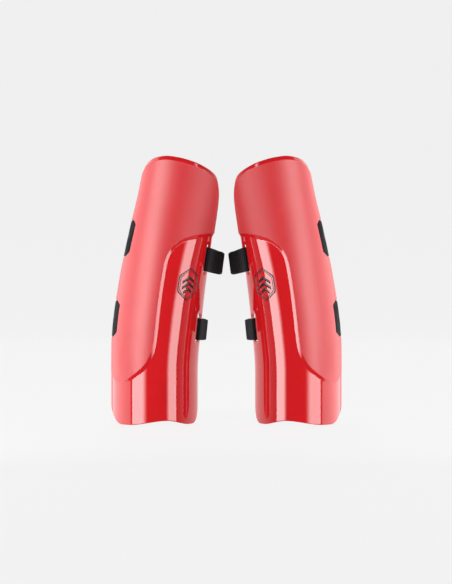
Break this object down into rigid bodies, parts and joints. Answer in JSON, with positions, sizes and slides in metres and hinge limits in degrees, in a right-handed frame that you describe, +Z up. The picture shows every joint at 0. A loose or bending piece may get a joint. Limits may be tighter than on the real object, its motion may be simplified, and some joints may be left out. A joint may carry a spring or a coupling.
{
  "type": "ski racing shin guard pair",
  "caption": "Mirrored pair of slim moulded shin guards with a raised outer panel, foam liners and elastic hook-and-loop straps, worn over ski boots.",
  "frame": {"origin": "on the floor, midway between the two guards, at the centre of the pair's footprint box", "axes": "+Z up along the shins, the fronts face -Y, +X towards the wearer's left"},
  "size_m": [0.328, 0.1326, 0.3728],
  "materials": {
    "shell_plastic": "satin raised panel, glossy front",
    "liner_foam": "matte fabric over foam",
    "hook_tape": "matte hook and loop",
    "elastic_webbing": "matte ribbed webbing"
  },
  "bodies": {
    "right_guard": {"right_shell": "shell_plastic", "right_liner": "liner_foam", "right_lower_inner_liner_dot": "hook_tape", "right_lower_outer_liner_dot": "hook_tape", "right_upper_inner_liner_dot": "hook_tape", "right_upper_outer_liner_dot": "hook_tape", "right_upper_hook_patch": "hook_tape", "right_upper_strap_loop": "elastic_webbing", "right_lower_hook_patch": "hook_tape", "right_lower_strap_loop": "elastic_webbing"},
    "right_upper_band": {"right_upper_strap_band": "elastic_webbing"},
    "right_upper_tab": {"right_upper_strap_tab": "elastic_webbing", "right_upper_strap_tape": "hook_tape"},
    "right_lower_band": {"right_lower_strap_band": "elastic_webbing"},
    "right_lower_tab": {"right_lower_strap_tab": "elastic_webbing", "right_lower_strap_tape": "hook_tape"},
    "left_guard": {"left_shell": "shell_plastic", "left_liner": "liner_foam", "left_lower_inner_liner_dot": "hook_tape", "left_lower_outer_liner_dot": "hook_tape", "left_upper_inner_liner_dot": "hook_tape", "left_upper_outer_liner_dot": "hook_tape", "left_upper_hook_patch": "hook_tape", "left_upper_strap_loop": "elastic_webbing", "left_lower_hook_patch": "hook_tape", "left_lower_strap_loop": "elastic_webbing"},
    "left_upper_band": {"left_upper_strap_band": "elastic_webbing"},
    "left_upper_tab": {"left_upper_strap_tab": "elastic_webbing", "left_upper_strap_tape": "hook_tape"},
    "left_lower_band": {"left_lower_strap_band": "elastic_webbing"},
    "left_lower_tab": {"left_lower_strap_tab": "elastic_webbing", "left_lower_strap_tape": "hook_tape"}
  },
  "joints": [
    {"name": "guard_spacing", "type": "slide", "parent": "right_guard", "child": "left_guard", "axis": [1, 0, 0], "range_m": [0, 0.25]},
    {"name": "right_upper_strap_swing", "type": "hinge", "parent": "right_guard", "child": "right_upper_band", "pos_m": [-0.02694, 0.05162, 0.23062], "axis": [-0.144, -0.0612, -0.9877], "range_deg": [0, 65]},
    {"name": "right_upper_tab_flex", "type": "hinge", "parent": "right_upper_band", "child": "right_upper_tab", "pos_m": [-0.1243, 0.05614, 0.25476], "axis": [-0.2173, -0.0522, -0.9747], "range_deg": [0, 78]},
    {"name": "right_lower_strap_swing", "type": "hinge", "parent": "right_guard", "child": "right_lower_band", "pos_m": [-0.04117, 0.05208, 0.13228], "axis": [-0.097, -0.0499, -0.994], "range_deg": [0, 65]},
    {"name": "right_lower_tab_flex", "type": "hinge", "parent": "right_lower_band", "child": "right_lower_tab", "pos_m": [-0.1419, 0.05572, 0.1435], "axis": [-0.1083, -0.053, -0.9927], "range_deg": [0, 78]},
    {"name": "left_upper_strap_swing", "type": "hinge", "parent": "left_guard", "child": "left_upper_band", "pos_m": [0.02694, 0.05162, 0.23062], "axis": [-0.144, 0.0612, 0.9877], "range_deg": [0, 65]},
    {"name": "left_upper_tab_flex", "type": "hinge", "parent": "left_upper_band", "child": "left_upper_tab", "pos_m": [0.1243, 0.05614, 0.25476], "axis": [-0.2173, 0.0522, 0.9747], "range_deg": [0, 78]},
    {"name": "left_lower_strap_swing", "type": "hinge", "parent": "left_guard", "child": "left_lower_band", "pos_m": [0.04117, 0.05208, 0.13228], "axis": [-0.097, 0.0499, 0.994], "range_deg": [0, 65]},
    {"name": "left_lower_tab_flex", "type": "hinge", "parent": "left_lower_band", "child": "left_lower_tab", "pos_m": [0.1419, 0.05572, 0.1435], "axis": [-0.1083, 0.053, 0.9927], "range_deg": [0, 78]}
  ],
  "couplings": [
    {"joint": "right_upper_tab_flex", "follows": "right_upper_strap_swing", "ratio": 1.2},
    {"joint": "right_lower_tab_flex", "follows": "right_lower_strap_swing", "ratio": 1.2},
    {"joint": "left_upper_tab_flex", "follows": "left_upper_strap_swing", "ratio": 1.2},
    {"joint": "left_lower_tab_flex", "follows": "left_lower_strap_swing", "ratio": 1.2}
  ]
}
